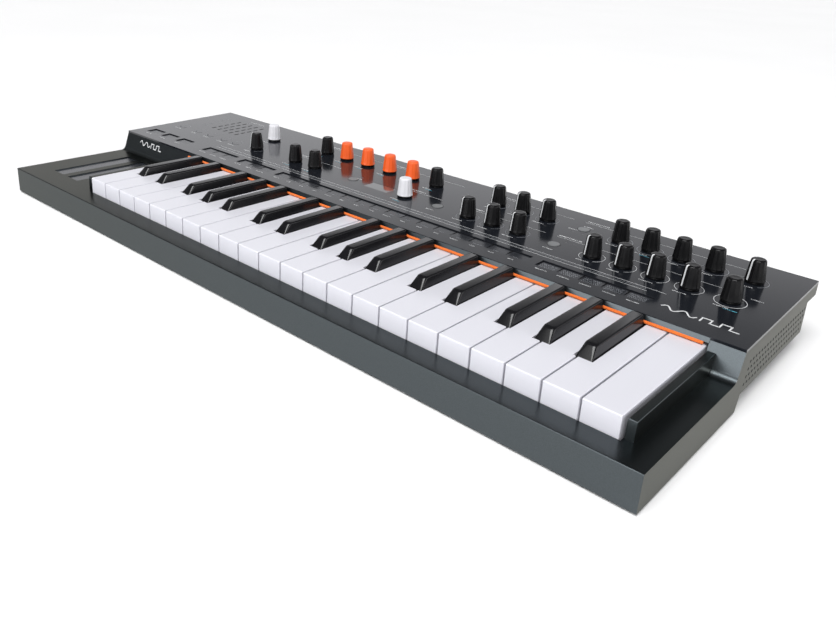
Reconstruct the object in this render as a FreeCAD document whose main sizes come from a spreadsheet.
import FreeCAD, Part
import math
import os
import Sketcher

# A 37-key slim-key synthesizer. Row frame: +X to the player's right, +Y away from the player, +Z up,
# origin under the middle of the case on the surface that the feet stand on.
# Places below are measured from the case's left end, front edge and underside; place() moves them.

doc = FreeCAD.newDocument("synthesizer")
sheet = doc.addObject("Spreadsheet::Sheet", "Dims")

DIMENSIONS = [
    ("case_width", 578.0, "overall width"),
    ("case_depth", 231.0, "overall depth"),
    ("foot_drop", 1.5, "front feet stand this far below the underside"),
    ("wall", 2.0, "case wall thickness"),
    ("deck_z", 20.4, "top of the front deck"),
    ("deck_edge_radius", 0.6, "rounding of the deck's front edge"),
    ("riser_foot_y", 104.2, "where the riser leaves the deck"),
    ("riser_blend", 5.0, "radius between deck and riser"),
    ("blend_reach", 3.7, "how far that radius reaches from the corner"),
    ("panel_front_y", 109.6, "front edge of the control panel"),
    ("panel_front_z", 37.8, "top of the control panel at its front edge"),
    ("panel_tilt", 0.84, "slope of the control panel, degrees"),
    ("panel_thickness", 1.6, "control panel plate"),
    ("lip_depth", 16.2, "overhang of the rear lip"),
    ("lip_z", 30.4, "underside of the rear lip"),
    ("rear_under_z", 9.6, "underside of the rear body"),
    ("step_y", 112.3, "where the underside steps up"),
    ("step_run", 3.0, "run of that step"),
    ("vent_pitch", 4.35, "spacing of the side vents in a row"),
    ("vent_row_pitch", 4.2, "height from one row of vents to the next"),
    ("vent_row_shift", 1.1, "each row starts this much further back than the row below"),
    ("vent_radius", 0.95, "radius of a vent hole"),
    ("vent_first_y", 117.7, "first vent of the lowest row"),
    ("vent_first_z", 14.5, "lowest vent row"),
    ("white_key_count", 22.0, "white keys in the row"),
    ("key_left", 99.0, "left end of the key row"),
    ("key_pitch", 20.9, "width of one white key with its gap"),
    ("key_gap", 1.0, "gap between white keys"),
    ("key_front_y", 16.0, "front face of the white keys"),
    ("key_top_z", 32.3, "top of the white keys"),
    ("key_lip_z", 17.5, "underside of a white key"),
    ("key_head_rear_y", 118.0, "rear end of a key's wide part"),
    ("key_edge_radius", 0.7, "rounding of a key's top edges"),
    ("key_tail_width", 8.0, "width of a key's hidden tail"),
    ("key_tail_height", 5.0, "height of a key's hidden tail"),
    ("pivot_y", 146.0, "key pivot line"),
    ("pivot_z", 24.0, "key pivot line"),
    ("pivot_radius", 1.5, "radius of the pivot rod"),
    ("pivot_clearance", 0.06, "radial clearance of a key on the rod"),
    ("pivot_boss_radius", 4.0, "eye round the pivot rod"),
    ("black_base_width", 9.4, "width of a black key at its foot"),
    ("black_top_width", 7.0, "width of a black key at its top"),
    ("black_front_y", 49.8, "front foot of a black key"),
    ("black_front_gap", 0.8, "gap in front of a black key"),
    ("black_slope", 5.7, "run of a black key's front slope"),
    ("black_rear_y", 107.5, "rear end of a black key's cap"),
    ("black_top_z", 38.4, "top of a black key"),
    ("black_edge_radius", 1.0, "rounding of a black key's edges"),
    ("notch_clearance", 0.7, "gap beside a black key"),
    ("opening_margin", 0.7, "gap round the key row in the deck"),
    ("slot_top_z", 34.7, "top edge of the slot in the riser"),
    ("felt_height", 2.0, "height of the felt strip"),
    ("felt_depth", 3.0, "depth of the felt strip"),
    ("cheek_front_y", 18.0, "front of the blocks at the ends of the key row"),
    ("cheek_top_z", 31.0, "top of those blocks"),
    ("bed_thickness", 2.0, "key bed plate"),
    ("knob_radius", 6.0, "knob at its foot"),
    ("knob_top_radius", 4.55, "knob at its top"),
    ("knob_height", 14.4, "height of a knob"),
    ("knob_lift", 0.8, "gap between knob and panel"),
    ("knob_round", 0.9, "rounding of a knob's top edge"),
    ("knob_cap", 4.0, "solid top of a knob, above its bore"),
    ("spindle_reach", 6.3, "depth of a spindle below the panel"),
    ("flute_radius", 2.2, "radius of the finger flutes"),
    ("flute_depth", 0.3, "depth of the finger flutes"),
    ("spindle_radius", 3.0, "control spindle"),
    ("spindle_clearance", 0.06, "radial clearance of a spindle in its bush"),
    ("bush_radius", 4.1, "outside of a spindle's bush"),
    ("bush_hole_radius", 4.3, "panel hole for a bush"),
    ("control_size", 10.0, "square body of a control"),
    ("board_drop", 8.0, "main board's top below the panel's top"),
    ("board_thickness", 1.6, "circuit boards"),
    ("hole_over", 1.0, "how far a cutting tool runs past the plate on each side"),
    ("plate_recess", 0.8, "touch plates below the panel's top"),
    ("plate_thickness", 1.4, "touch plates"),
    ("plate_front_v", 13.4, "front edge of the touch plates, along the panel"),
    ("plate_depth", 10.2, "touch plates, front to back"),
    ("plate_gap", 0.6, "gap between neighbouring touch plates"),
    ("light_hole_radius", 1.0, "panel hole of a status light"),
    ("light_radius", 0.95, "light guide"),
    ("screen_width", 24.3, "display window"),
    ("screen_depth", 12.0, "display window, front to back"),
    ("button_radius", 4.0, "push button"),
    ("button_clearance", 0.35, "gap round a push button"),
    ("jack_bore_radius", 3.2, "6.35 mm jack"),
    ("minijack_bore_radius", 1.8, "3.5 mm jack"),
    ("socket_line_z", 21.0, "centre line of the rear sockets"),
    ("rear_plate_thickness", 1.6, "connector plate"),
    ("jack_length", 22.0, "jack body behind the connector plate"),
    ("jack_wall", 1.3, "wall of a jack's nose"),
    ("midi_radius", 7.5, "five-pin socket"),
    ("midi_recess_radius", 6.6, "recess of a five-pin socket"),
    ("midi_pin_circle", 4.8, "radius of the circle of five contacts"),
    ("usb_width", 12.0, "data socket"),
    ("usb_height", 11.0, "data socket"),
    ("inlet_width", 9.0, "power inlet"),
    ("inlet_nose_radius", 3.5, "nose of the power inlet"),
    ("switch_radius", 4.0, "power switch button"),
    ("base_thickness", 1.2, "base sheet"),
    ("base_inset", 0.4, "base sheet above the front block's underside"),
    ("rear_base_inset", 0.8, "base sheet above the rear body's underside"),
    ("screw_radius", 1.5, "case screws"),
    ("screw_head_radius", 2.8, "head of a case screw"),
    ("board_hole_radius", 3.4, "clearance of a circuit board round a stud"),
    ("foot_radius", 7.0, "rubber feet"),
    ("foot_inset_x", 45.0, "feet, from the ends of the case"),
    ("front_foot_y", 16.0, "front feet"),
    ("rear_foot_y", 192.0, "rear feet"),
]
for row, (alias, value, meaning) in enumerate(DIMENSIONS, start=1):
    sheet.set(f"A{row}", meaning)
    sheet.set(f"B{row}", str(value))
    sheet.setAlias(f"B{row}", alias)
doc.recompute()

# Knobs on the control panel: name, distance from the left end, distance from the front edge.
KNOBS = [
    ("preset_knob", 116.7, 192.4), ("master_volume_knob", 129.6, 161.0),
    ("osc_one_type_knob", 181.4, 161.0), ("osc_one_tune_knob", 205.7, 161.0),
    ("osc_two_type_knob", 181.4, 199.3), ("osc_one_wave_knob", 205.7, 199.3),
    ("osc_one_timbre_knob", 230.7, 199.3), ("osc_two_wave_knob", 255.7, 199.3),
    ("osc_two_timbre_knob", 280.6, 199.3), ("osc_mix_knob", 305.6, 161.0),
    ("osc_volume_knob", 305.6, 199.3), ("cutoff_knob", 364.9, 161.0),
    ("resonance_knob", 386.1, 161.0), ("filter_envelope_knob", 407.3, 161.0),
    ("effect_time_knob", 364.9, 199.3), ("effect_intensity_knob", 386.1, 199.3),
    ("effect_amount_knob", 407.3, 199.3), ("attack_knob", 463.4, 161.0),
    ("decay_knob", 484.6, 161.0), ("sustain_knob", 505.6, 161.0),
    ("release_knob", 526.7, 161.0), ("lfo_rate_knob", 463.4, 199.3),
    ("lfo_shape_knob", 484.6, 199.3), ("cycling_rise_knob", 505.6, 199.3),
    ("cycling_fall_knob", 526.7, 199.3), ("glide_knob", 550.6, 199.3),
    ("tempo_knob", 550.6, 161.0),
]
FLUTES = 12
PUSH_BUTTONS = [(249.3, 162.5), (336.3, 162.5), (435.1, 161.6), (435.3, 201.1)]
SCREEN_X = 265.7
SCREEN_Y = 157.0
STATUS_LIGHTS = [(251.7, 171.0), (431.2, 192.5), (439.5, 192.5), (439.5, 170.5), (445.6, 170.5)]
# Touch plate groups on the panel: left end, width, number of plates.
PLATE_GROUPS = [(11.0, 17.5, 1), (34.0, 17.5, 1), (57.5, 17.5, 1), (98.4, 41.5, 3),
                (148.2, 41.5, 3), (197.5, 240.1, 16), (445.0, 73.6, 5)]
VENT_ROWS = 4
VENTS_PER_ROW = 22
DECK_STRIPS_X = [25.5, 49.0]
DECK_STRIP = (16.0, 71.7)
DECK_STRIP_FRONT_Y = 21.0
# The seven white keys of an octave, and each black key as (name, gap it stands over, sideways shift).
WHITE_NOTES = ["c", "d", "e", "f", "g", "a", "b"]
BLACK_NOTES = [("c_sharp", 1, -2.6), ("d_sharp", 2, 2.6), ("f_sharp", 4, -3.4),
               ("g_sharp", 5, 0.0), ("a_sharp", 6, 3.4)]
OCTAVES = 3
WHITE_PER_OCTAVE = len(WHITE_NOTES)

nodes = {}


def size(alias):
    """Value of one cell of the sheet, in millimetres or degrees."""
    return float(sheet.get(alias))


def bind(item, formulas):
    """Bind properties of an object to formulas over the sheet."""
    for prop, formula in formulas.items():
        item.setExpression(prop, str(formula))
    return item


def place(item, x, y, z):
    """Put an object at a place measured from the left end, the front edge and the underside."""
    return bind(item, {
        "Placement.Base.x": f"({x}) - Dims.case_width / 2",
        "Placement.Base.y": f"({y}) - Dims.case_depth / 2",
        "Placement.Base.z": f"({z}) + Dims.foot_drop"})


def on_panel(item, u, v, w):
    """Put an object on the sloping panel: u from the left end, v up the slope, w above the panel."""
    slope = "Dims.panel_tilt * 1 deg"
    item.Placement = FreeCAD.Placement(FreeCAD.Vector(), FreeCAD.Rotation(FreeCAD.Vector(1, 0, 0), 1))
    place(item, u,
          f"Dims.panel_front_y + ({v}) * cos({slope}) - ({w}) * sin({slope})",
          f"Dims.panel_front_z + ({v}) * sin({slope}) + ({w}) * cos({slope})")
    return bind(item, {"Placement.Rotation.Angle": "Dims.panel_tilt"})


def panel_v(y):
    """Distance up the panel's slope of a place that lies y behind the case's front edge."""
    return f"({y} - Dims.panel_front_y) / cos(Dims.panel_tilt * 1 deg)"


def make_box(name, length, width, height):
    item = doc.addObject("Part::Box", name)
    return bind(item, {"Length": length, "Width": width, "Height": height})


def make_cylinder(name, radius, length):
    item = doc.addObject("Part::Cylinder", name)
    return bind(item, {"Radius": radius, "Height": length})


def make_cone(name, foot_radius, top_radius, length):
    item = doc.addObject("Part::Cone", name)
    return bind(item, {"Radius1": foot_radius, "Radius2": top_radius, "Height": length})


def point_along(item, direction):
    """Turn a cylinder, built along Z, to lie along +X, +Y or -Y."""
    turns = {"+x": ((0, 1, 0), 90), "+y": ((1, 0, 0), -90), "-y": ((1, 0, 0), 90)}
    axis, angle = turns[direction]
    item.Placement = FreeCAD.Placement(FreeCAD.Vector(), FreeCAD.Rotation(FreeCAD.Vector(*axis), angle))
    return item


def join(name, pieces):
    item = doc.addObject("Part::MultiFuse", name)
    item.Shapes = pieces
    return item


def group(name, pieces):
    """Separate solids that share one node."""
    item = doc.addObject("Part::Compound", name)
    item.Links = pieces
    return item


def cut(name, base, tools):
    item = doc.addObject("Part::Cut", name)
    item.Base = base
    item.Tool = tools[0] if len(tools) == 1 else group(name + "_tools", tools)
    return item


def keep(node, item):
    """Register the finished object of a node; its label names its file."""
    item.Label = node
    nodes[node] = item
    return item


def outline_prism(name, points, length):
    """Body padded along +X from a straight-sided outline in the YZ plane; returns body and pad."""
    body = doc.addObject("PartDesign::Body", name)
    plane = next(f for f in body.Origin.OriginFeatures if f.Role == "YZ_Plane")
    sketch = body.newObject("Sketcher::SketchObject", name + "_outline")
    sketch.AttachmentSupport = [(plane, "")]
    sketch.MapMode = "FlatFace"
    count = len(points)
    start = [FreeCAD.Vector(10 + 10 * math.cos(2 * math.pi * i / count),
                            10 - 10 * math.sin(2 * math.pi * i / count), 0) for i in range(count)]
    for i in range(count):
        sketch.addGeometry(Part.LineSegment(start[i], start[(i + 1) % count]), False)
    for i in range(count):
        sketch.addConstraint(Sketcher.Constraint("Coincident", i, 2, (i + 1) % count, 1))
    for i, (y, z) in enumerate(points):
        for kind, formula, axis_line in (("DistanceX", y, -2), ("DistanceY", z, -1)):
            if formula == "0":
                sketch.addConstraint(Sketcher.Constraint("PointOnObject", i, 1, axis_line))
                continue
            offset = start[i].x if kind == "DistanceX" else start[i].y
            index = sketch.addConstraint(Sketcher.Constraint(kind, -1, 1, i, 1, offset))
            sketch.setExpression(f"Constraints[{index}]", formula)
    pad = body.newObject("PartDesign::Pad", name + "_pad")
    pad.Profile = sketch
    bind(pad, {"Length": length})
    doc.recompute()
    return body, pad


def round_edges(body, base, radius, chosen):
    """Fillet the edges of a body's last feature whose every vertex passes the test."""
    names = [f"Edge{i}" for i, edge in enumerate(base.Shape.Edges, start=1)
             if all(chosen(vertex.Point) for vertex in edge.Vertexes)]
    fillet = body.newObject("PartDesign::Fillet", f"{body.Name}_round_{len(body.Group)}")
    fillet.Base = (base, names)
    bind(fillet, {"Radius": radius})
    doc.recompute()
    return fillet


def near(value, target):
    return abs(value - target) < 0.01


def riser_y(z):
    """Formula for the riser's outer face at height z."""
    lean = ("(Dims.panel_front_y - Dims.riser_foot_y)"
            " / (Dims.panel_front_z - Dims.panel_thickness - Dims.deck_z)")
    return f"Dims.riser_foot_y + (({z}) - Dims.deck_z) * {lean}"


def case_shell():
    """Painted case: front wall, deck, riser, side walls with vents, and the rear lip."""
    panel_foot = "Dims.panel_front_z - Dims.panel_thickness - 0.01"
    rise = "tan(Dims.panel_tilt * 1 deg)"
    body, pad = outline_prism("case_block", [
        ("0", "0"), ("0", "Dims.deck_z"), ("Dims.riser_foot_y", "Dims.deck_z"),
        ("Dims.panel_front_y", panel_foot),
        ("Dims.case_depth", f"{panel_foot} + (Dims.case_depth - Dims.panel_front_y) * {rise}"),
        ("Dims.case_depth", "Dims.lip_z"), ("Dims.case_depth - Dims.lip_depth", "Dims.lip_z"),
        ("Dims.case_depth - Dims.lip_depth + 0.8", "Dims.rear_under_z + 0.8"),
        ("Dims.step_y + Dims.step_run", "Dims.rear_under_z"), ("Dims.step_y", "0")],
        "Dims.case_width")
    blend = round_edges(body, pad, "Dims.riser_blend",
                        lambda p: near(p.y, size("riser_foot_y")) and near(p.z, size("deck_z")))
    body.Tip = round_edges(body, blend, "Dims.deck_edge_radius",
                           lambda p: near(p.y, 0) and near(p.z, size("deck_z")))
    place(body, "0", "0", "0")
    cavity, _ = outline_prism("case_cavity", [
        ("Dims.wall", "-1"), ("Dims.wall", "Dims.deck_z - Dims.wall"),
        ("Dims.riser_foot_y + 1.5", "Dims.deck_z - Dims.wall"),
        ("Dims.panel_front_y + 2.9", "Dims.panel_front_z + 1"),
        ("Dims.case_depth - Dims.wall", "Dims.panel_front_z + 3"),
        ("Dims.case_depth - Dims.wall", "Dims.lip_z + Dims.wall"),
        ("Dims.case_depth - Dims.lip_depth - Dims.wall", "Dims.lip_z + Dims.wall"),
        ("Dims.case_depth - Dims.lip_depth - Dims.wall", "Dims.lip_z"),
        ("Dims.case_depth - Dims.lip_depth + 2", "Dims.lip_z"),
        ("Dims.case_depth - Dims.lip_depth + 2", "-1")],
        "Dims.case_width - 2 * Dims.wall")
    place(cavity, "Dims.wall", "0", "0")
    key_opening = make_box("key_opening",
                           "Dims.white_key_count * Dims.key_pitch + 2 * Dims.opening_margin",
                           "Dims.panel_front_y + 4 - Dims.key_front_y", "Dims.slot_top_z - 8")
    place(key_opening, "Dims.key_left - Dims.opening_margin",
          "Dims.key_front_y - Dims.opening_margin", "8")
    tools = [cavity, key_opening]
    for i, x in enumerate(DECK_STRIPS_X):
        pocket = make_box(f"deck_strip_pocket_{i}", DECK_STRIP[0], DECK_STRIP[1], 5)
        tools.append(place(pocket, x, DECK_STRIP_FRONT_Y, "Dims.deck_z - 1.4"))
    for row in range(VENT_ROWS):
        for column in range(VENTS_PER_ROW):
            vent = point_along(make_cylinder(f"vent_{row}_{column}", "Dims.vent_radius",
                                             "Dims.case_width + 2"), "+x")
            tools.append(place(vent, "-1", f"Dims.vent_first_y + {row} * Dims.vent_row_shift"
                                           f" + {column} * Dims.vent_pitch",
                               f"Dims.vent_first_z + {row} * Dims.vent_row_pitch"))
    hollow = cut("case_hollow", body, tools)
    bosses = []
    for i, (x, y) in enumerate(front_screws()):
        boss = make_cylinder(f"case_boss_{i}", "Dims.screw_radius + 1.6", "Dims.deck_z - 3")
        pilot = make_cylinder(f"case_pilot_{i}", "Dims.screw_radius", "7")
        place(boss, x, y, "1.8")
        place(pilot, x, y, "1")
        bosses.append(cut(f"case_boss_drilled_{i}", boss, [pilot]))
    keep("case_shell", join("case_shell_joined", [hollow] + bosses))


def front_screws():
    """Case screws under the front deck."""
    return [("30", "8"), ("Dims.case_width / 2", "8"), ("Dims.case_width - 30", "8"),
            ("12", "98"), ("Dims.case_width - 9", "98")]


def rear_screws():
    """Case screws that reach the panel's studs."""
    return [(x, "209") for x in ("10", "196", "400", "Dims.case_width - 10")]


def control_panel():
    """Printed panel plate with its holes, and the studs that the rear screws enter."""
    plate = make_box("panel_plate", "Dims.case_width",
                     "(Dims.case_depth - Dims.panel_front_y - 0.03) / cos(Dims.panel_tilt * 1 deg)",
                     "Dims.panel_thickness")
    on_panel(plate, "0", "0", "-Dims.panel_thickness")
    through = "Dims.panel_thickness + 2 * Dims.hole_over"
    tool_foot = "-Dims.panel_thickness - Dims.hole_over"
    tools = []
    for name, x, y in KNOBS:
        hole = make_cylinder(name + "_hole", "Dims.bush_hole_radius", through)
        tools.append(on_panel(hole, x, panel_v(y), tool_foot))
    for i, (x, y) in enumerate(PUSH_BUTTONS):
        hole = make_cylinder(f"button_hole_{i}", "Dims.button_radius + Dims.button_clearance", through)
        tools.append(on_panel(hole, x, panel_v(y), tool_foot))
    for i, (x, y) in enumerate(STATUS_LIGHTS):
        hole = make_cylinder(f"light_hole_{i}", "Dims.light_hole_radius", through)
        tools.append(on_panel(hole, x, panel_v(y), tool_foot))
    for i, (left, width, _) in enumerate(PLATE_GROUPS):
        window = make_box(f"plate_window_{i}", width, "Dims.plate_depth", through)
        tools.append(on_panel(window, left, "Dims.plate_front_v", tool_foot))
    screen_hole = make_box("screen_hole", "Dims.screen_width + 0.2", "Dims.screen_depth + 0.2", through)
    tools.append(on_panel(screen_hole, f"{SCREEN_X} - 0.1", f"{panel_v(SCREEN_Y)} - 0.1", tool_foot))
    pieces = [cut("panel_drilled", plate, tools)]
    for i, (x, y) in enumerate(rear_screws()):
        stud = make_cylinder(f"panel_stud_{i}", "Dims.screw_radius + 1.4", "25.6")
        pilot = make_cylinder(f"panel_pilot_{i}", "Dims.screw_radius", "9")
        place(stud, x, y, "12")
        place(pilot, x, y, "11")
        pieces.append(cut(f"panel_stud_drilled_{i}", stud, [pilot]))
    keep("control_panel", join("control_panel_joined", pieces))


def base_plate():
    """Folded sheet that closes the case from below."""
    front_end = "Dims.wall + 0.3"
    rear_end = "Dims.case_depth - Dims.lip_depth - 2.6"
    low = "Dims.base_inset"
    high = "Dims.rear_under_z + Dims.rear_base_inset"
    body, _ = outline_prism("base_sheet", [
        (front_end, low), (front_end, f"{low} + Dims.base_thickness"),
        ("Dims.step_y - 1.6", f"{low} + Dims.base_thickness"),
        ("Dims.step_y + Dims.step_run - 1.6", f"{high} + Dims.base_thickness"),
        (rear_end, f"{high} + Dims.base_thickness"), (rear_end, high),
        ("Dims.step_y + Dims.step_run - 0.6", high), ("Dims.step_y - 0.6", low)],
        "Dims.case_width - 2 * Dims.wall - 0.4")
    place(body, "Dims.wall + 0.2", "0", "0")
    tools = []
    for i, (x, y) in enumerate(front_screws() + rear_screws()):
        hole = make_cylinder(f"base_hole_{i}", "Dims.screw_radius + 0.2", "16")
        tools.append(place(hole, x, y, "-1"))
    keep("base_plate", cut("base_plate_drilled", body, tools))


def connector_face_y():
    """Inner face of the connector plate."""
    return "Dims.case_depth - Dims.lip_depth - Dims.rear_plate_thickness"


# Rear sockets, by distance from the left end: what each one is and where it stands.
JACKS = [("phones", 500.0), ("output_right", 472.0), ("output_left", 448.0), ("audio_in", 424.0),
         ("pedal", 376.0)]
MINIJACKS = [("clock_in", 346.0), ("clock_out", 330.0), ("reset_out", 314.0)]
MIDI_SOCKETS_X = [286.0, 262.0, 238.0]
USB_X = 150.0
POWER_INLET_X = 78.0
POWER_SWITCH_X = 52.0


def connector_plate():
    """Rear plate with a hole for each socket."""
    plate = make_box("rear_plate", "Dims.case_width - 2 * Dims.wall - 0.4", "Dims.rear_plate_thickness",
                     "Dims.lip_z - Dims.rear_under_z - 2.2")
    place(plate, "Dims.wall + 0.2", connector_face_y(), "Dims.rear_under_z + 2.1")
    tools = []
    rounds = [(name, x, "Dims.jack_bore_radius + Dims.jack_wall + 0.1") for name, x in JACKS]
    rounds += [(name, x, "Dims.minijack_bore_radius + Dims.jack_wall + 0.1") for name, x in MINIJACKS]
    rounds += [(f"midi_{i}", x, "Dims.midi_radius + 0.1") for i, x in enumerate(MIDI_SOCKETS_X)]
    rounds += [("power_inlet", POWER_INLET_X, "Dims.inlet_nose_radius + 0.1"),
               ("power_switch", POWER_SWITCH_X, "Dims.switch_radius + 0.4")]
    through = "Dims.rear_plate_thickness + 2 * Dims.hole_over"
    tool_y = f"{connector_face_y()} - Dims.hole_over"
    for name, x, radius in rounds:
        hole = point_along(make_cylinder(f"rear_hole_{name}", radius, through), "+y")
        tools.append(place(hole, x, tool_y, "Dims.socket_line_z"))
    usb_hole = make_box("rear_hole_usb", "Dims.usb_width + 0.4", through, "Dims.usb_height + 0.4")
    tools.append(place(usb_hole, f"{USB_X} - Dims.usb_width / 2 - 0.2", tool_y,
                       "Dims.socket_line_z - Dims.usb_height / 2 - 0.2"))
    keep("connector_plate", cut("connector_plate_drilled", plate, tools))


def jack_sockets():
    """Audio and clock jacks: a moulded body with a threaded nose, bored for its plug."""
    pieces = []
    for name, x, bore, half in [(n, x, "Dims.jack_bore_radius", 6.0) for n, x in JACKS] + \
                               [(n, x, "Dims.minijack_bore_radius", 4.0) for n, x in MINIJACKS]:
        body = make_box(f"jack_body_{name}", 2 * half, "Dims.jack_length", 2 * half)
        place(body, x - half, f"{connector_face_y()} - Dims.jack_length", f"Dims.socket_line_z - {half}")
        nose = point_along(make_cylinder(f"jack_nose_{name}", f"{bore} + Dims.jack_wall", "4"), "+y")
        place(nose, x, f"{connector_face_y()} - 1", "Dims.socket_line_z")
        hole = point_along(make_cylinder(f"jack_bore_{name}", bore, "30"), "+y")
        place(hole, x, f"{connector_face_y()} - 17", "Dims.socket_line_z")
        pieces.append(cut(f"jack_{name}", join(f"jack_solid_{name}", [body, nose]), [hole]))
    keep("jack_sockets", group("jack_socket_group", pieces))


def digital_sockets():
    """Five-pin sockets, the data socket and the power inlet."""
    pieces = []
    for i, x in enumerate(MIDI_SOCKETS_X):
        body = point_along(make_cylinder(f"midi_body_{i}", "Dims.midi_radius", "16"), "+y")
        place(body, x, f"{connector_face_y()} - 14", "Dims.socket_line_z")
        recess = point_along(make_cylinder(f"midi_recess_{i}", "Dims.midi_recess_radius", "12"), "+y")
        place(recess, x, f"{connector_face_y()} - 6", "Dims.socket_line_z")
        pins = []
        for pin in range(5):
            turn = f"{180 + 45 * pin} * 1 deg"
            contact = point_along(make_cylinder(f"midi_pin_{i}_{pin}", "0.8", "12"), "+y")
            pins.append(place(contact, f"{x} + Dims.midi_pin_circle * cos({turn})",
                              f"{connector_face_y()} - 12",
                              f"Dims.socket_line_z + Dims.midi_pin_circle * sin({turn})"))
        pieces.append(cut(f"midi_socket_{i}", body, [recess] + pins))
    usb_body = make_box("usb_body", "Dims.usb_width", "18", "Dims.usb_height")
    place(usb_body, f"{USB_X} - Dims.usb_width / 2", f"{connector_face_y()} - 16",
          "Dims.socket_line_z - Dims.usb_height / 2")
    usb_mouth = make_box("usb_mouth", "8.6", "14", "7.9")
    place(usb_mouth, USB_X - 4.3, f"{connector_face_y()} - 9", "Dims.socket_line_z - 3.95")
    usb_tongue = make_box("usb_tongue", "5.6", "7", "3.0")
    place(usb_tongue, USB_X - 2.8, f"{connector_face_y()} - 9.5", "Dims.socket_line_z - 3.4")
    pieces.append(join("usb_socket", [cut("usb_shell", usb_body, [usb_mouth]), usb_tongue]))
    inlet_body = make_box("inlet_body", "Dims.inlet_width", "14", "Dims.inlet_width + 2")
    place(inlet_body, f"{POWER_INLET_X} - Dims.inlet_width / 2", f"{connector_face_y()} - 14",
          "Dims.socket_line_z - Dims.inlet_width / 2 - 1")
    inlet_nose = point_along(make_cylinder("inlet_nose", "Dims.inlet_nose_radius", "3"), "+y")
    place(inlet_nose, POWER_INLET_X, f"{connector_face_y()} - 1", "Dims.socket_line_z")
    inlet_bore = point_along(make_cylinder("inlet_bore", "2.75", "14"), "+y")
    place(inlet_bore, POWER_INLET_X, f"{connector_face_y()} - 9", "Dims.socket_line_z")
    inlet_pin = point_along(make_cylinder("inlet_pin", "1.05", "9"), "+y")
    place(inlet_pin, POWER_INLET_X, f"{connector_face_y()} - 9.5", "Dims.socket_line_z")
    inlet = cut("inlet_shell", join("inlet_solid", [inlet_body, inlet_nose]), [inlet_bore])
    pieces.append(join("power_inlet", [inlet, inlet_pin]))
    keep("digital_sockets", group("digital_socket_group", pieces))


def power_switch():
    """Round latching push switch in the rear plate."""
    button = point_along(make_cylinder("switch_button", "Dims.switch_radius", "9"), "+y")
    place(button, POWER_SWITCH_X, f"{connector_face_y()} - 4", "Dims.socket_line_z")
    face = doc.addObject("Part::Chamfer", "switch_face")
    face.Base = button
    doc.recompute()
    rim = [i for i, edge in enumerate(button.Shape.Edges, start=1)
           if all(v.Y > button.Shape.BoundBox.YMax - 0.01 for v in edge.Vertexes)]
    face.Edges = [(i, 0.6, 0.6) for i in rim]
    keep("power_switch", face)


def key_end_blocks():
    """Blocks that close the two ends of the key row."""
    pieces = []
    row_end = "Dims.key_left + Dims.white_key_count * Dims.key_pitch"
    for side, x, width in (("left", "91.2", "6.0"), ("right", f"{row_end} + 1.2", "4.5")):
        body, pad = outline_prism(f"end_block_{side}", [
            ("Dims.cheek_front_y", "Dims.deck_z"), ("Dims.cheek_front_y + 0.4", "Dims.cheek_top_z"),
            (riser_y("Dims.cheek_top_z"), "Dims.cheek_top_z"),
            (riser_y("Dims.deck_z"), "Dims.deck_z")], width)
        body.Tip = round_edges(body, pad, "0.5", lambda p: near(p.z, size("cheek_top_z")))
        place(body, x, "0", "0")
        pieces.append(body)
    over = "Dims.deck_z + Dims.blend_reach"
    ahead = "Dims.riser_foot_y - Dims.blend_reach"
    behind = "Dims.riser_foot_y + Dims.blend_reach"
    blend_clear, _ = outline_prism("blend_clear", [
        (ahead, "Dims.deck_z"), (ahead, "Dims.deck_z - 1"), (behind, "Dims.deck_z - 1"),
        (behind, over), (riser_y(over), over)], "Dims.case_width")
    place(blend_clear, "0", "0", "0")
    trimmed = [cut(f"end_block_{i}_trimmed", piece, [blend_clear]) for i, piece in enumerate(pieces)]
    keep("key_end_blocks", group("end_block_group", trimmed))


def key_felt_strip():
    """Felt strip under the riser's upper edge, just above the keys."""
    strip = make_box("felt_bar", "Dims.white_key_count * Dims.key_pitch - 2.4", "Dims.felt_depth",
                     "Dims.felt_height")
    place(strip, "Dims.key_left + 0.2", "Dims.black_rear_y + 0.5", "Dims.slot_top_z - Dims.felt_height")
    front = doc.addObject("Part::Fillet", "felt_round")
    front.Base = strip
    doc.recompute()
    face_y = strip.Shape.BoundBox.YMin
    edges = [i for i, edge in enumerate(strip.Shape.Edges, start=1)
             if all(near(v.Y, face_y) for v in edge.Vertexes) and edge.Length > 100]
    front.Edges = [(i, 0.9, 0.9) for i in edges]
    keep("key_felt_strip", front)


def black_centre(octave, gap, shift):
    """Centre line of a black key, as a formula."""
    return f"Dims.key_left + ({octave * WHITE_PER_OCTAVE + gap}) * Dims.key_pitch + ({shift})"


def key_tail(name, centre):
    """Hidden rear arm of a key, with the eye that turns on the pivot rod."""
    arm = make_box(name + "_arm", "Dims.key_tail_width", "Dims.pivot_y - Dims.key_head_rear_y + 1.6",
                   "Dims.key_tail_height")
    place(arm, f"{centre} - Dims.key_tail_width / 2", "Dims.key_head_rear_y - 1.6",
          "Dims.pivot_z - 1")
    eye = point_along(make_cylinder(name + "_eye", "Dims.pivot_boss_radius", "Dims.key_tail_width"), "+x")
    place(eye, f"{centre} - Dims.key_tail_width / 2", "Dims.pivot_y", "Dims.pivot_z")
    bore = point_along(make_cylinder(name + "_bore", "Dims.pivot_radius + Dims.pivot_clearance",
                                     "Dims.key_tail_width + 2"), "+x")
    place(bore, f"{centre} - Dims.key_tail_width / 2 - 1", "Dims.pivot_y", "Dims.pivot_z")
    return [arm, eye], bore


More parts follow.
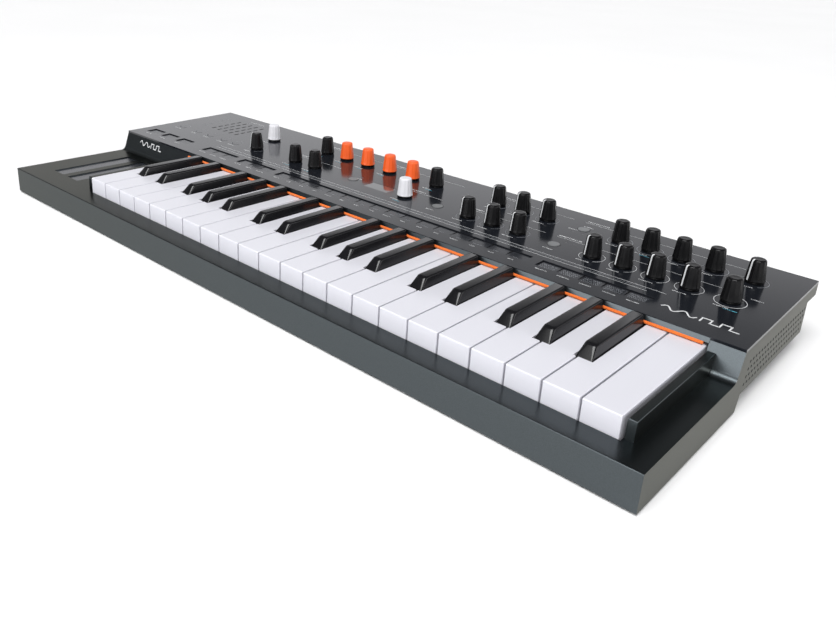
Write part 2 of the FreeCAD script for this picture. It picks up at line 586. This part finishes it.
def white_key(octave, step):
    """One white key: solid moulding with notches for its black neighbours."""
    number = octave * WHITE_PER_OCTAVE + step
    name = f"white_{number}"
    left = f"Dims.key_left + {number} * Dims.key_pitch + Dims.key_gap / 2"
    body, pad = outline_prism(name, [
        ("Dims.key_front_y", "Dims.key_lip_z"), ("Dims.key_front_y", "Dims.key_top_z"),
        ("Dims.key_head_rear_y", "Dims.key_top_z"), ("Dims.key_head_rear_y", "Dims.pivot_z - 1"),
        ("Dims.key_head_rear_y - 20", "Dims.key_lip_z")],
        "Dims.key_pitch - Dims.key_gap")
    front = size("key_front_y")
    top = size("key_top_z")
    body.Tip = round_edges(body, pad, "Dims.key_edge_radius",
                           lambda p: near(p.y, front) or (near(p.z, top) and p.y < 200))
    place(body, left, "0", "0")
    tools = []
    tail_left = size("key_left") + number * size("key_pitch")
    tail_right = tail_left + size("key_pitch")
    last_key = number == OCTAVES * WHITE_PER_OCTAVE
    half = size("black_base_width") / 2 + size("notch_clearance")
    for note, gap, shift in BLACK_NOTES:
        for side in (gap, gap - 1):
            if side != step or (last_key and side == gap - 1):
                continue
            centre = size("key_left") + (octave * WHITE_PER_OCTAVE + gap) * size("key_pitch") + shift
            notch = make_box(f"{name}_notch_{note}", "Dims.black_base_width + 2 * Dims.notch_clearance",
                             "Dims.key_head_rear_y - Dims.black_front_y + 2", "Dims.key_top_z + 1")
            place(notch, f"{black_centre(octave, gap, shift)} - Dims.black_base_width / 2"
                         " - Dims.notch_clearance", "Dims.black_front_y - Dims.black_front_gap", "0")
            tools.append(notch)
            if side == gap:
                tail_left = centre + half
            else:
                tail_right = centre - half
    head = cut(name + "_head", body, tools) if tools else body
    if last_key:
        tail_right = tail_left + 13
    arms, bore = key_tail(name, str((tail_left + tail_right) / 2))
    return cut(name + "_key", join(name + "_joined", [head] + arms), [bore])


def black_key(octave, note, gap, shift):
    """One black key: tapered cap on a narrow body."""
    name = f"black_{note}_{octave}"
    centre = black_centre(octave, gap, shift)
    cap = doc.addObject("Part::Wedge", name + "_cap")
    base_half = "Dims.black_base_width / 2"
    top_half = "Dims.black_top_width / 2"
    cap.Placement = FreeCAD.Placement(FreeCAD.Vector(), FreeCAD.Rotation(FreeCAD.Vector(1, 0, 0), 90))
    bind(cap, {"Xmin": f"-{base_half}", "Xmax": base_half, "X2min": f"-{top_half}", "X2max": top_half,
               "Zmin": "-Dims.black_rear_y", "Zmax": "-Dims.black_front_y",
               "Z2min": "-Dims.black_rear_y", "Z2max": "-Dims.black_front_y - Dims.black_slope",
               "Ymin": "Dims.key_top_z - 1", "Ymax": "Dims.black_top_z"})
    place(cap, centre, "0", "0")
    doc.recompute()
    top = cap.Shape.BoundBox.ZMax
    rounded = doc.addObject("Part::Fillet", name + "_rounded")
    rounded.Base = cap
    rear = cap.Shape.BoundBox.YMax
    edges = [i for i, edge in enumerate(cap.Shape.Edges, start=1)
             if any(near(v.Z, top) for v in edge.Vertexes)
             and not all(near(v.Y, rear) for v in edge.Vertexes)]
    rounded.Edges = [(i, size("black_edge_radius"), size("black_edge_radius")) for i in edges]
    trunk = make_box(name + "_trunk", "Dims.black_base_width",
                     "Dims.key_head_rear_y - Dims.black_front_y", "Dims.key_top_z - Dims.pivot_z + 0.6")
    place(trunk, f"{centre} - {base_half}", "Dims.black_front_y", "Dims.pivot_z - 1")
    arms, bore = key_tail(name, centre)
    return cut(name + "_key", join(name + "_joined", [rounded, trunk] + arms), [bore])


def keys():
    """Key row: the keys of one note name share a node, because they are the same moulding."""
    for step, note in enumerate(WHITE_NOTES):
        octaves = OCTAVES + 1 if note == "c" else OCTAVES
        keep(f"keys_{note}", group(f"keys_{note}_group",
                                   [white_key(octave, step) for octave in range(octaves)]))
    for note, gap, shift in BLACK_NOTES:
        keep(f"keys_{note}", group(f"keys_{note}_group",
                                   [black_key(octave, note, gap, shift) for octave in range(OCTAVES)]))


def keybed_frame():
    """Stepped plate under the keys, with lugs that hold the pivot rod between the keys' tails."""
    body, _ = outline_prism("bed_plate", [
        ("20", "2.2"), ("20", "2.2 + Dims.bed_thickness"), ("108", "2.2 + Dims.bed_thickness"),
        ("112", "12.4 + Dims.bed_thickness"), ("152", "12.4 + Dims.bed_thickness"), ("152", "12.4"),
        ("114", "12.4"), ("110", "2.2")], "Dims.white_key_count * Dims.key_pitch + 8")
    place(body, "Dims.key_left - 4", "0", "0")
    pieces = [body]
    octave_width = WHITE_PER_OCTAVE * size("key_pitch")
    lug_places = [size("key_left") + octave * octave_width + shift
                  for octave in range(OCTAVES) for shift in (0, 3 * size("key_pitch"))]
    lug_places.append(size("key_left") + OCTAVES * octave_width)
    lug_places.append(size("key_left") + OCTAVES * octave_width + 14)
    for i, x in enumerate(lug_places):
        lug = make_box(f"lug_{i}", "2", "9", "Dims.pivot_z + 2.5 - 13")
        place(lug, x - 1, "Dims.pivot_y - 4.5", "13")
        pieces.append(lug)
    rod_hole = point_along(make_cylinder("rod_hole", "Dims.pivot_radius", "Dims.case_width"), "+x")
    place(rod_hole, "0", "Dims.pivot_y", "Dims.pivot_z")
    keep("keybed_frame", cut("keybed_frame_bored", join("bed_joined", pieces), [rod_hole]))
    rod = point_along(make_cylinder("pivot_rod", "Dims.pivot_radius",
                                    "Dims.white_key_count * Dims.key_pitch + 2"), "+x")
    keep("key_pivot_rod", place(rod, "Dims.key_left - 2", "Dims.pivot_y", "Dims.pivot_z"))


def key_contacts():
    """Contact board on the key bed, and its rubber domes, one under each key."""
    board_top = "4.4 + Dims.board_thickness"
    board = make_box("contact_board_blank", "Dims.white_key_count * Dims.key_pitch", "30",
                     "Dims.board_thickness")
    keep("key_contact_board", place(board, "Dims.key_left", "60", "4.3"))
    domes = []
    for number in range(OCTAVES * 12 + 1):
        dome = make_cone(f"dome_{number}", "3.2", "2.0", "3.2")
        place(dome, f"Dims.key_left + 6.5 + {number} * (Dims.key_pitch * 7 / 12)",
              "68" if number % 2 else "82", board_top)
        domes.append(dome)
    keep("contact_domes", group("contact_dome_group", domes))


def touch_plates():
    """Touch plates behind the panel's windows, their board, and the two strips in the deck."""
    pieces = []
    for i, (left, width, count) in enumerate(PLATE_GROUPS):
        pitch = width / count
        for j in range(count):
            plate = make_box(f"touch_plate_{i}_{j}", f"{pitch} - Dims.plate_gap",
                             "Dims.plate_depth - Dims.plate_gap", "Dims.plate_thickness")
            on_panel(plate, f"{left + j * pitch} + Dims.plate_gap / 2",
                     "Dims.plate_front_v + Dims.plate_gap / 2", "-Dims.plate_recess - Dims.plate_thickness")
            pieces.append(plate)
    for i, x in enumerate(DECK_STRIPS_X):
        strip = make_box(f"deck_strip_{i}", f"{DECK_STRIP[0]} - 0.2", f"{DECK_STRIP[1]} - 0.2", "0.5")
        pieces.append(place(strip, f"{x} + 0.1", f"{DECK_STRIP_FRONT_Y} + 0.1", "Dims.deck_z - 1.4"))
    keep("touch_plates", group("touch_plate_group", pieces))


def display_screen():
    """Display module: glass window in the panel, with its carrier behind."""
    glass = make_box("display_glass", "Dims.screen_width", "Dims.screen_depth", "3")
    on_panel(glass, SCREEN_X, panel_v(SCREEN_Y), "-3.1")
    carrier = make_box("display_carrier", "Dims.screen_width + 4", "Dims.screen_depth + 4", "4")
    on_panel(carrier, SCREEN_X - 2, f"{panel_v(SCREEN_Y)} - 2", "-6.4")
    keep("display_screen", join("display_joined", [glass, carrier]))


def indicator_lights():
    """Light guides of the small status lights."""
    guides = []
    for i, (x, y) in enumerate(STATUS_LIGHTS):
        guide = make_cylinder(f"light_guide_{i}", "Dims.light_radius", "5")
        guides.append(on_panel(guide, x, panel_v(y), "-5"))
    keep("indicator_lights", group("indicator_light_group", guides))


def main_board():
    """Control board under the panel, touch board in front of it, and the socket board below."""
    control = make_box("control_board", "Dims.case_width - 16", "52", "Dims.board_thickness")
    on_panel(control, "8", "41", "-Dims.board_drop - Dims.board_thickness")
    touch = make_box("touch_board", "516", "15", "Dims.board_thickness")
    on_panel(touch, "6", "11", "-Dims.plate_recess - Dims.plate_thickness - Dims.board_thickness")
    socket_blank = make_box("socket_board_blank", "480", "36", "Dims.board_thickness")
    place(socket_blank, "40", "176", "11.8")
    holes = []
    for i, (x, y) in enumerate(rear_screws()):
        hole = make_cylinder(f"socket_board_hole_{i}", "Dims.board_hole_radius", "6")
        holes.append(place(hole, x, y, "10"))
    pieces = [control, touch, cut("socket_board", socket_blank, holes)]
    for i, (x, y) in enumerate(PUSH_BUTTONS):
        switch = make_box(f"key_switch_{i}", "6", "6", "2")
        pieces.append(on_panel(switch, x - 3, f"{panel_v(y)} - 3", "-Dims.board_drop"))
    keep("main_board", group("board_group", pieces))


def controls():
    """Potentiometers and encoders: a square body with a bush that passes the panel."""
    housings = []
    for name, x, y in KNOBS:
        half = size("control_size") / 2
        housing = make_box(name + "_housing", "Dims.control_size", "Dims.control_size", "6.2")
        on_panel(housing, f"{x} - {half}", f"{panel_v(y)} - {half}", "-Dims.board_drop")
        bush = make_cylinder(name + "_bush", "Dims.bush_radius", "2.4")
        on_panel(bush, x, panel_v(y), "-2")
        bore = make_cylinder(name + "_bush_bore", "Dims.spindle_radius + Dims.spindle_clearance", "9")
        on_panel(bore, x, panel_v(y), "-6.5")
        housings.append(cut(name + "_control", join(name + "_solid", [housing, bush]), [bore]))
    keep("control_bodies", group("control_body_group", housings))


def knob_master():
    """Fluted, tapered knob at the origin, bored for its spindle; every knob is this moulding."""
    cone = make_cone("knob_cone", "Dims.knob_radius", "Dims.knob_top_radius", "Dims.knob_height")
    bind(cone, {"Placement.Base.z": "Dims.knob_lift"})
    doc.recompute()
    top = cone.Shape.BoundBox.ZMax
    rounded = doc.addObject("Part::Fillet", "knob_rounded")
    rounded.Base = cone
    rounded.Edges = [(i, size("knob_round"), size("knob_round"))
                     for i, edge in enumerate(cone.Shape.Edges, start=1)
                     if all(near(v.Z, top) for v in edge.Vertexes)]
    taper = math.degrees(math.atan((size("knob_radius") - size("knob_top_radius")) / size("knob_height")))
    tools = []
    out = size("knob_radius") + size("flute_radius") - size("flute_depth")
    lean = FreeCAD.Rotation(FreeCAD.Vector(0, 1, 0), -taper)
    for i in range(FLUTES):
        flute = make_cylinder(f"flute_{i}", "Dims.flute_radius", "Dims.knob_height + 6")
        turn = FreeCAD.Rotation(FreeCAD.Vector(0, 0, 1), 360 * i / FLUTES)
        foot = turn.multVec(FreeCAD.Vector(out, 0, size("knob_lift") + 1.6))
        flute.Placement = FreeCAD.Placement(foot, turn * lean)
        tools.append(flute)
    bore = make_cylinder("knob_bore", "Dims.spindle_radius", "Dims.knob_height - Dims.knob_cap")
    fluted = cut("knob_fluted", rounded, tools + [bore])
    spindle = make_cylinder("spindle", "Dims.spindle_radius",
                            "Dims.knob_height - Dims.knob_cap + Dims.spindle_reach")
    bind(spindle, {"Placement.Base.z": "-Dims.spindle_reach"})
    return [fluted, spindle]


def knobs():
    """The knobs, each with its spindle, standing square to the panel."""
    master = knob_master()
    for name, x, y in KNOBS:
        keep(name, on_panel(group(name + "_pair", master), x, panel_v(y), "0"))


def push_buttons():
    """Round push buttons, flush with the panel."""
    caps = []
    for i, (x, y) in enumerate(PUSH_BUTTONS):
        cap = make_cylinder(f"button_cap_{i}", "Dims.button_radius", "5.1")
        caps.append(on_panel(cap, x, panel_v(y), "-4.7"))
    keep("push_buttons", group("push_button_group", caps))


def rubber_feet():
    """Low feet under the front block and tall feet under the rear body."""
    feet = []
    for i, x in enumerate(("Dims.foot_inset_x", "Dims.case_width - Dims.foot_inset_x")):
        low = make_cylinder(f"front_foot_{i}", "Dims.foot_radius", "Dims.foot_drop + Dims.base_inset")
        feet.append(place(low, x, "Dims.front_foot_y", "-Dims.foot_drop"))
        tall = make_cone(f"rear_foot_{i}", "Dims.foot_radius", "Dims.foot_radius + 2",
                         "Dims.foot_drop + Dims.rear_under_z + Dims.rear_base_inset")
        feet.append(place(tall, x, "Dims.rear_foot_y", "-Dims.foot_drop"))
    keep("rubber_feet", group("rubber_foot_group", feet))


def case_screws():
    """Pan-head screws that hold the base plate."""
    screws = []
    for i, (x, y) in enumerate(front_screws()):
        shank = make_cylinder(f"front_shank_{i}", "Dims.screw_radius", "7")
        head = make_cylinder(f"front_head_{i}", "Dims.screw_head_radius", "1.2")
        place(shank, x, y, "Dims.base_inset")
        place(head, x, y, "Dims.base_inset - 1.2")
        screws.append(join(f"front_screw_{i}", [shank, head]))
    for i, (x, y) in enumerate(rear_screws()):
        shank = make_cylinder(f"rear_shank_{i}", "Dims.screw_radius", "9")
        head = make_cylinder(f"rear_head_{i}", "Dims.screw_head_radius", "1.6")
        place(shank, x, y, "Dims.rear_under_z + Dims.rear_base_inset")
        place(head, x, y, "Dims.rear_under_z + Dims.rear_base_inset - 1.6")
        screws.append(join(f"rear_screw_{i}", [shank, head]))
    keep("case_screws", group("case_screw_group", screws))


def check_document():
    """Stop if any object failed, or if any node's shape is missing or invalid."""
    for item in doc.Objects:
        if "Invalid" in item.State or "Error" in item.State:
            raise RuntimeError(f"{item.Name} failed: {item.State}")
    for node, item in nodes.items():
        if item.Shape.isNull() or not item.Shape.isValid():
            raise RuntimeError(f"{node} has no valid shape")


def export_nodes():
    os.makedirs("parts", exist_ok=True)
    for node, item in nodes.items():
        item.Shape.exportStep(f"parts/{node}.step")


case_shell()
control_panel()
base_plate()
connector_plate()
jack_sockets()
digital_sockets()
power_switch()
key_end_blocks()
key_felt_strip()
keys()
keybed_frame()
key_contacts()
touch_plates()
display_screen()
indicator_lights()
main_board()
controls()
knobs()
push_buttons()
rubber_feet()
case_screws()
doc.recompute()
check_document()
export_nodes()
print(len(nodes), "nodes")
